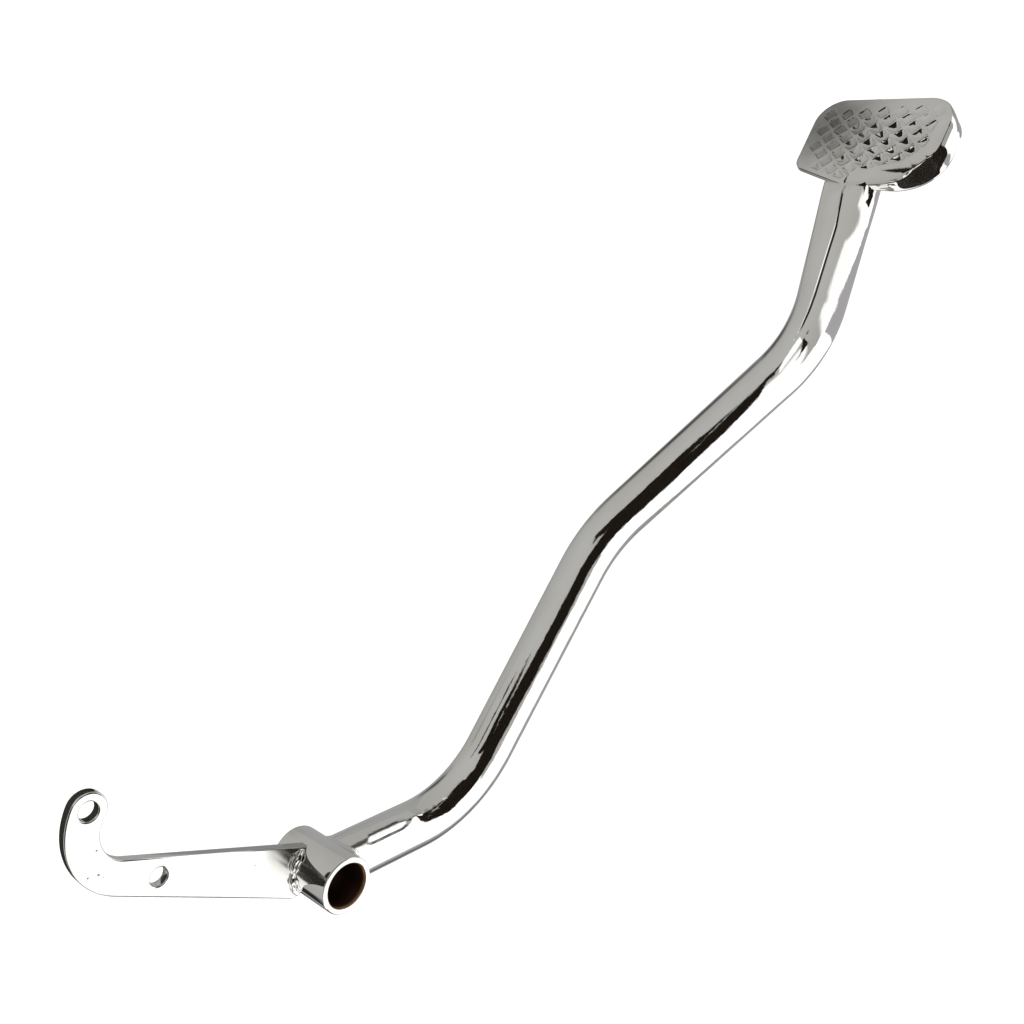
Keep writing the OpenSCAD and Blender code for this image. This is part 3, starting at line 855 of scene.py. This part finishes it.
def make_lever_weld():
    """Two beads on the pivot tube, one on each face of the plate: a rounded fillet between the radial and
    the axial leg, with ripples and lumps along its run and pinched ends."""
    grids = []
    for face, sign, phase in ((PLATE_Y, -1, 0.0), (PLATE_Y + PLATE_T, 1, 2.0)):
        ang = np.radians(np.linspace(64, 172, 220))[:, None]
        psi = np.linspace(0, math.pi / 2, 14)[None, :]
        s = ang * PIVOT_R
        ends = smoothstep(64, 74, np.degrees(ang)) * (1 - smoothstep(160, 172, np.degrees(ang)))
        lump = bead_noise(s * 0.9 + phase + psi, s * 1.6 + 1 - psi * 1.5, s * 0.6 + 2 * phase - psi)
        leg = 2.3 * ends * (0.84 + 0.26 * lump + 0.03 * np.sin(s * 3.0 + 2 * psi + np.sin(s)))
        full = 0.72 + 0.28 * np.abs(np.sin(2 * psi))
        r = PIVOT_R - 0.15 + leg * np.cos(psi) * full
        y = face - sign * 0.15 + sign * leg * np.sin(psi) * full
        outer = np.stack([r * np.cos(ang), y + 0 * ang, r * np.sin(ang)], -1)
        rin = 0 * s + PIVOT_R - 0.4
        back = np.stack([rin * np.cos(ang), 0 * ang + face - sign * 0.4, rin * np.sin(ang)], -1)
        grids.append((np.concatenate([outer, back], 1), False, True, 0))
    return make_piece("lever_weld_beads", grids, [CHROME_WELD])


def make_arm_weld():
    """The bead round the arm's foot: from the pivot tube's wall it curves concavely up to the arm."""
    along = unit(KNEE)
    side = np.array([0.0, 1, 0])
    up = np.cross(along, side)
    phi = np.linspace(0, TAU, 200, endpoint=False)[:, None]
    a, b = ARM_R * np.cos(phi), ARM_R * np.sin(phi)
    rough = 0.10 + 0.22 * np.exp(-((phi - 2.6) / 0.5) ** 2)
    leg = 1.0 + rough * bead_noise(phi * 19, phi * 33 + 1, phi * 11 + 2)
    out_a, out_b = a * (1 + 0.16 * leg), b * (1 + 0.082 * leg)
    foot = np.stack([out_a, out_b, np.sqrt(8.95 ** 2 - out_b ** 2)], -1)
    joint = np.stack([a, b, np.sqrt(PIVOT_R ** 2 - b ** 2)], -1)
    top = np.stack([a * 0.998, b * 0.998, joint[..., 2] + 2.0 * leg], -1)
    t = np.linspace(0, 1, 12)[None, :, None]
    curve = (1 - t) ** 2 * foot + 2 * t * (1 - t) * (joint + np.array([0, 0, 0.25])) + t * t * top
    inner = np.stack([a * 0.94, b * 0.94, joint[..., 2] + 0.2], -1)
    grid = np.concatenate([curve, inner], 1)
    grid = grid[..., 0:1] * side + grid[..., 1:2] * up + grid[..., 2:3] * along
    return make_piece("arm_weld_bead", [(grid, True, True, 0)], [CHROME_WELD])


seat(make_lever_weld(), "lever_weld")
seat(make_arm_weld(), "arm_weld")


# Floor

FLOOR_Z = -120


def make_floor():
    """A plain pale floor below the pedal. Only the camera and soft light see it."""
    mesh = bpy.data.meshes.new("floor")
    r, z = 2.0, FLOOR_Z * MM
    mesh.from_pydata([(-r, -r, z), (r, -r, z), (r, r, z), (-r, r, z)], [], [(0, 1, 2, 3)])
    material = bpy.data.materials.new("pale floor")
    material.use_nodes = True
    shader = material.node_tree.nodes["Principled BSDF"]
    shader.inputs["Base Color"].default_value = (0.99, 0.99, 0.99, 1)
    shader.inputs["Roughness"].default_value = 0.9
    shader.inputs["Specular IOR Level"].default_value = 0.0
    mesh.materials.append(material)
    floor = bpy.data.objects.new("floor", mesh)
    bpy.context.scene.collection.objects.link(floor)
    floor.visible_glossy = False


make_floor()


# Light

def make_world():
    """Level white light, and for mirror-like surfaces the studio that they show: grey walls, a grey floor
    that is white on the near side and darker off to -X, two windows on the near side, and dark things
    on the far side and low at the right. alpha is the angle from -Y towards -X, beyond is the angle from
    +Y towards +X, and level is the height over the horizon, all in degrees."""
    world = bpy.data.worlds.new("studio")
    bpy.context.scene.world = world
    world.use_nodes = True
    g = Graph(world.node_tree)
    back = world.node_tree.nodes["Background"]
    where = g.add("ShaderNodeTexCoord").outputs["Generated"]
    x, y, z = g.split(where)
    deg = 180 / math.pi
    alpha = g.math("ARCTAN2", x * -1, y * -1) * deg
    beyond = g.math("ARCTAN2", x, y) * deg
    level = g.math("ARCSINE", z) * deg

    wall = g.mix(g.step(-10, 90, level), grey(0.455, 1.0), grey(0.53, 0.3))
    near_side = g.step(-62, -54, alpha) * (1 - g.step(72, 82, alpha)) * (1 - g.step(-0.36, -0.24, y))
    floor = 1 - g.step(-1.2, 0.6, level)
    aside = g.step(76, 92, alpha) * (1 - g.step(122, 138, alpha))
    floor_colour = g.mix(aside, grey(0.40), grey(0.14))
    floor_colour = g.mix(near_side, floor_colour, grey(1.5))

    # Two windows, from the horizon up
    window = g.step(-24, -17, alpha) * (1 - g.step(1, 6, alpha)) * (1 - g.step(42, 54, level))
    beside = g.step(24, 28, alpha) * (1 - g.step(58, 64, alpha)) * (1 - g.step(40, 50, level))
    window = g.math("MAXIMUM", window, beside) * g.step(-1.2, 0.6, level)

    # Dark things beyond the pedal: soft bands, each a bell across its bearing, and a corner with edges
    left = g.math("POWER", 2.718, (beyond + 28) * (beyond + 28) * (-1 / 110))
    left = left * g.step(-56, -46, level) * (1 - g.step(16, 28, level))
    over = g.math("POWER", 2.718, (beyond + 15) * (beyond + 15) * (-1 / 60))
    over = over * g.step(22, 28, level) * (1 - g.step(34, 40, level)) * 0.6
    corner = g.step(-53, -50, beyond) * (1 - g.step(-42, -39, beyond))
    corner = corner * g.step(-24, -21, level) * (1 - g.step(-6, -2, level))
    right = g.math("POWER", 2.718, (beyond - 26) * (beyond - 26) * (-1 / 60))
    right = right * g.step(-18, -12, level) * (1 - g.step(2, 24, level)) * 0.85
    band = g.math("MAXIMUM", g.math("MAXIMUM", left, corner), g.math("MAXIMUM", right, over))
    # And a dim patch on the horizon at the right
    patch = g.step(-78, -74, alpha) * (1 - g.step(-62, -57, alpha))
    patch = patch * (1 - g.step(4, 7, g.math("ABSOLUTE", level)))

    shade = g.mix(window, wall, grey(1.3))
    shade = g.mix(floor, shade, floor_colour)
    dark = g.math("MAXIMUM", band, patch * 0.8)
    shade = g.mix(g.math("MINIMUM", dark, 0.97), shade, (0.012, 0.011, 0.008, 1))

    path = g.add("ShaderNodeLightPath")
    plain = g.mix(path.outputs["Is Camera Ray"], grey(1.2), grey(1.0))
    g.link(back.inputs[0], g.mix(path.outputs["Is Glossy Ray"], plain, shade))


make_world()


# Cards that only mirror-like surfaces see

DARK = (0.012, 0.009, 0.006, 1)
SOOT = (0.020, 0.019, 0.014, 1)
DIM = (0.05, 0.05, 0.05, 1)
GREY = (0.45, 0.44, 0.46, 1)
WHITE = (1, 1, 0.99, 1)


def card_material(name, colour, strength):
    """A card's material: black, and glowing evenly in its colour, so that the light doesn't change it."""
    material = bpy.data.materials.new(name)
    material.use_nodes = True
    shader = material.node_tree.nodes["Principled BSDF"]
    shader.inputs["Base Color"].default_value = (0, 0, 0, 1)
    shader.inputs["Specular IOR Level"].default_value = 0.0
    shader.inputs["Roughness"].default_value = 1.0
    shader.inputs["Emission Color"].default_value = colour
    shader.inputs["Emission Strength"].default_value = strength
    return material


def make_card(name, rows, colour=DARK, strength=1.0):
    """A studio card: a sheet ruled between two rows of points in mm."""
    sheet = (np.array(rows, float), False, False, 0)
    piece = make_piece(name, [sheet], [card_material(name, colour, strength)])
    piece.visible_camera = piece.visible_diffuse = piece.visible_shadow = False
    piece.visible_transmission = piece.visible_volume_scatter = False


# Upright flags on the near side of the arm, whose edges give its dark stripe, and one at the knee
make_card("dark_flag", [
    [(-6, -90, -6), (20, -90, -14), (45, -90, -20), (72, -90, -22), (98, -90, -20), (112, -90, -12),
     (135, -90, -9), (150, -90, -4), (160, -90, 6)],
    [(-20, -90, 158), (5, -90, 143), (27, -90, 126), (45, -90, 104), (68, -90, 88), (86, -90, 86),
     (98, -90, 98), (118, -90, 128), (155, -90, 128)],
])
make_card("dark_wing", [
    [(-88, -90, 72), (-18, -90, 72)],
    [(-88, -90, 175), (-18, -90, 158)],
])
make_card("dark_knee", [
    [(35.5, -20, -37), (38, -20, -38), (41, -20, -38.3), (45.2, -20, -38.5), (52.2, -20, -37.4),
     (57.6, -20, -35), (61.5, -20, -31)],
    [(36, -20, -32), (38, -20, -31), (46, -20, -28.5), (54, -20, -26), (57, -20, -22), (60, -20, -8),
     (62, -20, 5)],
])
# A tall curtain off to the left, which leans in high above the hook
make_card("dark_curtain", [
    [(-180, -245, 100), (-205, -225, 110), (-230, -200, 110), (-260, -60, 20)],
    [(-46, -138, 418), (-45, -120, 420), (-42, -90, 424), (-26, -34, 434)],
])
# A strip round the outer side of the pad, a cover over that side, an upright card at its edge, and one
# that stands far off on the near side
make_card("dark_strip", [
    [(276, -105, -6), (270, -104, -6), (264, -101, -5), (258, -96, -4), (254.5, -90.5, -3)],
    [(276, -105, 6), (270, -104, 6), (264, -101, 4), (258, -96, 3.5), (254.5, -90.5, 3.5)],
])
make_card("dark_cover", [
    [(257, -121, 36), (267, -121, 36), (277, -121, 36)],
    [(258, -91, 36), (267, -82, 36), (277, -68, 36)],
])
make_card("dark_front", [
    [(262, -121, 6), (300, -121, 8)],
    [(262, -121, 36), (300, -121, 36)],
])
make_card("dark_side", [
    [(95, -230, 100), (152, -230, 100)],
    [(95, -230, 340), (152, -230, 340)],
])
# Behind the hook
make_card("dark_back", [
    [(-62, 30, 66), (-20, 30, 66), (0, 30, 68), (18, 30, 68), (55, 30, 72)],
    [(-62, 30, 190), (-20, 30, 190), (0, 30, 150), (18, 30, 125), (55, 30, 115)],
], SOOT)
# A grey board that lies level under the neck and the pad, and a white one that lies level over the
# stretch before the last bend
make_card("grey_board", [
    [(219, -215, -33), (244, -205, -33), (251, -145, -33), (263, -106, -33), (278, -122, -33),
     (290, -148, -33), (299, -118, -33)],
    [(219, -50, -33), (235, -50, -33), (251, -50, -33), (263, -50, -33), (278, -50, -33), (290, -50, -33),
     (300, -50, -33)],
], GREY)
make_card("white_corner", [
    [(153, -101, 60), (163, -91, 60), (173, -82, 60), (184, -75, 60)],
    [(143, -112, 60), (162, -112, 60), (185, -104, 60), (200, -84, 60)],
], WHITE, 1.3)
# A wide white paper on the floor on the near side, and a small dim one on top of it at the left
make_card("white_paper", [
    [(-3000, -3000, -119), (40, -3000, -119), (135, -3000, -119), (205, -3000, -119), (398, -3000, -119)],
    [(-3000, -52, -119), (40, -52, -119), (135, -64, -119), (205, -92, -119), (398, -92, -119)],
], WHITE, 1.5)
make_card("dark_paper", [
    [(-230, -150, -118), (-85, -150, -118)],
    [(-230, -46, -118), (-85, -46, -118)],
], DIM)

# Camera at the photograph's viewing angle
CAMERA_AT = (44.899, -256.247, 269.173)
CAMERA_TURN = (31.9905, 32.685, -58.9614)
LENS = 40.25

camera = bpy.data.objects.new("camera", bpy.data.cameras.new("camera"))
camera.data.sensor_width = 36.0
camera.data.lens = LENS
camera.location = Vector(CAMERA_AT) * MM
camera.rotation_euler = Euler([math.radians(a) for a in CAMERA_TURN])
camera.data.clip_start = 0.01
camera.data.clip_end = 20.0
bpy.context.scene.collection.objects.link(camera)
bpy.context.scene.camera = camera
bpy.context.scene.view_settings.view_transform = "Standard"
